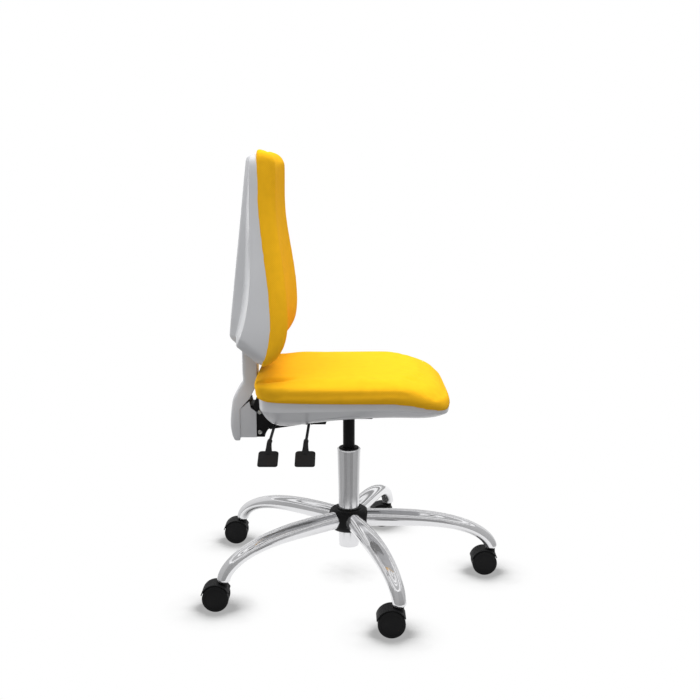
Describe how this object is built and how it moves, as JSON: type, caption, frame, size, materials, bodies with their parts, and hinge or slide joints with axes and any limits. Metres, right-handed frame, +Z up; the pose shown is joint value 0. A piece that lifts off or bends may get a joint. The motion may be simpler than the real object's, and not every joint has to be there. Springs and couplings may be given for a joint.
{
  "type": "office chair",
  "caption": "Height-adjustable office chair without arms: padded seat, padded high back on a reclining bar, gas column and star base on castors.",
  "frame": {"origin": "middle of the chair's bounding box at floor level", "axes": "+X is the way the sitter faces, +Z is up"},
  "size_m": [0.6972, 0.7104, 1.0228],
  "materials": {
    "chrome": "bright chrome plate on steel tube",
    "bright_steel": "zinc-plated or ground steel",
    "black_steel": "black powder coat",
    "black_plastic": "moulded black nylon",
    "grey_plastic": "moulded light grey polypropylene",
    "yellow_fabric": "woven yellow upholstery over foam",
    "plywood": "moulded plywood"
  },
  "bodies": {
    "base": {"base_hub": "bright_steel", "hub_cover": "black_plastic", "column_tube": "chrome", "column_bush": "black_plastic", "thrust_bearing": "bright_steel", "leg_1": "chrome", "leg_2": "chrome", "leg_3": "chrome", "leg_4": "chrome", "leg_5": "chrome"},
    "swivel_rod": {"piston_rod": "bright_steel", "rod_clip": "bright_steel"},
    "seat": {"gas_tube": "black_plastic", "mechanism_housing": "black_steel", "tilt_shaft": "bright_steel", "tilt_spring": "bright_steel", "seat_plate": "black_steel", "seat_board": "plywood", "seat_shell": "grey_plastic", "seat_cushion": "yellow_fabric"},
    "height_lever": {"height_lever_rod": "black_steel", "height_lever_paddle": "black_plastic"},
    "recline_lever": {"recline_lever_rod": "black_steel", "recline_lever_paddle": "black_plastic"},
    "back_support": {"back_bar": "black_steel", "bracket_plate_left": "black_steel", "bracket_plate_right": "black_steel", "bracket_bolt_upper": "bright_steel", "bracket_bolt_lower": "bright_steel", "side_cover": "grey_plastic", "bar_cover": "grey_plastic"},
    "backrest": {"back_cushion": "yellow_fabric", "back_board": "plywood", "back_shell": "grey_plastic", "height_ratchet": "black_plastic"},
    "castor_1": {"castor_stem_1": "bright_steel", "castor_hood_1": "black_plastic", "castor_axle_1": "bright_steel"},
    "castor_1_wheel_left": {"castor_wheel_1_left": "black_plastic"},
    "castor_1_wheel_right": {"castor_wheel_1_right": "black_plastic"},
    "castor_2": {"castor_stem_2": "bright_steel", "castor_hood_2": "black_plastic", "castor_axle_2": "bright_steel"},
    "castor_2_wheel_left": {"castor_wheel_2_left": "black_plastic"},
    "castor_2_wheel_right": {"castor_wheel_2_right": "black_plastic"},
    "castor_3": {"castor_stem_3": "bright_steel", "castor_hood_3": "black_plastic", "castor_axle_3": "bright_steel"},
    "castor_3_wheel_left": {"castor_wheel_3_left": "black_plastic"},
    "castor_3_wheel_right": {"castor_wheel_3_right": "black_plastic"},
    "castor_4": {"castor_stem_4": "bright_steel", "castor_hood_4": "black_plastic", "castor_axle_4": "bright_steel"},
    "castor_4_wheel_left": {"castor_wheel_4_left": "black_plastic"},
    "castor_4_wheel_right": {"castor_wheel_4_right": "black_plastic"},
    "castor_5": {"castor_stem_5": "bright_steel", "castor_hood_5": "black_plastic", "castor_axle_5": "bright_steel"},
    "castor_5_wheel_left": {"castor_wheel_5_left": "black_plastic"},
    "castor_5_wheel_right": {"castor_wheel_5_right": "black_plastic"}
  },
  "joints": [
    {"name": "seat_swivel", "type": "hinge", "parent": "base", "child": "swivel_rod", "pos_m": [-0.01606, 0, 0.1], "axis": [0, 0, 1], "continuous": true},
    {"name": "height_slide", "type": "slide", "parent": "swivel_rod", "child": "seat", "axis": [0, 0, 1], "range_m": [-0.06, 0.055]},
    {"name": "height_lever_lift", "type": "hinge", "parent": "seat", "child": "height_lever", "pos_m": [-0.10906, -0.052, 0.39626], "axis": [-1, 0, 0], "range_deg": [0, 4], "stiffness_Nm_per_rad": 2, "springref_deg": -2.86},
    {"name": "recline_lever_lift", "type": "hinge", "parent": "seat", "child": "recline_lever", "pos_m": [-0.18806, -0.052, 0.39626], "axis": [-1, 0, 0], "range_deg": [0, 4], "stiffness_Nm_per_rad": 2, "springref_deg": -2.86},
    {"name": "recline", "type": "hinge", "parent": "seat", "child": "back_support", "pos_m": [-0.13406, 0, 0.41226], "axis": [0, -1, 0], "range_deg": [0, 18]},
    {"name": "back_height", "type": "slide", "parent": "back_support", "child": "backrest", "axis": [0, 0, 1], "range_m": [0, 0.06]},
    {"name": "castor_1_swivel", "type": "hinge", "parent": "base", "child": "castor_1", "pos_m": [0.33394, 0, 0.064], "axis": [0, 0, 1], "continuous": true},
    {"name": "castor_1_roll_left", "type": "hinge", "parent": "castor_1", "child": "castor_1_wheel_left", "pos_m": [0.31694, 0, 0.03], "axis": [0, 1, 0], "continuous": true},
    {"name": "castor_1_roll_right", "type": "hinge", "parent": "castor_1", "child": "castor_1_wheel_right", "pos_m": [0.31694, 0, 0.03], "axis": [0, 1, 0], "continuous": true},
    {"name": "castor_2_swivel", "type": "hinge", "parent": "base", "child": "castor_2", "pos_m": [0.09209, 0.33287, 0.064], "axis": [0, 0, 1], "continuous": true},
    {"name": "castor_2_roll_left", "type": "hinge", "parent": "castor_2", "child": "castor_2_wheel_left", "pos_m": [0.07509, 0.33287, 0.03], "axis": [0, 1, 0], "continuous": true},
    {"name": "castor_2_roll_right", "type": "hinge", "parent": "castor_2", "child": "castor_2_wheel_right", "pos_m": [0.07509, 0.33287, 0.03], "axis": [0, 1, 0], "continuous": true},
    {"name": "castor_3_swivel", "type": "hinge", "parent": "base", "child": "castor_3", "pos_m": [-0.29922, 0.20572, 0.064], "axis": [0, 0, 1], "continuous": true},
    {"name": "castor_3_roll_left", "type": "hinge", "parent": "castor_3", "child": "castor_3_wheel_left", "pos_m": [-0.31622, 0.20572, 0.03], "axis": [0, 1, 0], "continuous": true},
    {"name": "castor_3_roll_right", "type": "hinge", "parent": "castor_3", "child": "castor_3_wheel_right", "pos_m": [-0.31622, 0.20572, 0.03], "axis": [0, 1, 0], "continuous": true},
    {"name": "castor_4_swivel", "type": "hinge", "parent": "base", "child": "castor_4", "pos_m": [-0.29922, -0.20572, 0.064], "axis": [0, 0, 1], "continuous": true},
    {"name": "castor_4_roll_left", "type": "hinge", "parent": "castor_4", "child": "castor_4_wheel_left", "pos_m": [-0.31622, -0.20572, 0.03], "axis": [0, 1, 0], "continuous": true},
    {"name": "castor_4_roll_right", "type": "hinge", "parent": "castor_4", "child": "castor_4_wheel_right", "pos_m": [-0.31622, -0.20572, 0.03], "axis": [0, 1, 0], "continuous": true},
    {"name": "castor_5_swivel", "type": "hinge", "parent": "base", "child": "castor_5", "pos_m": [0.09209, -0.33287, 0.064], "axis": [0, 0, 1], "continuous": true},
    {"name": "castor_5_roll_left", "type": "hinge", "parent": "castor_5", "child": "castor_5_wheel_left", "pos_m": [0.07509, -0.33287, 0.03], "axis": [0, 1, 0], "continuous": true},
    {"name": "castor_5_roll_right", "type": "hinge", "parent": "castor_5", "child": "castor_5_wheel_right", "pos_m": [0.07509, -0.33287, 0.03], "axis": [0, 1, 0], "continuous": true}
  ]
}
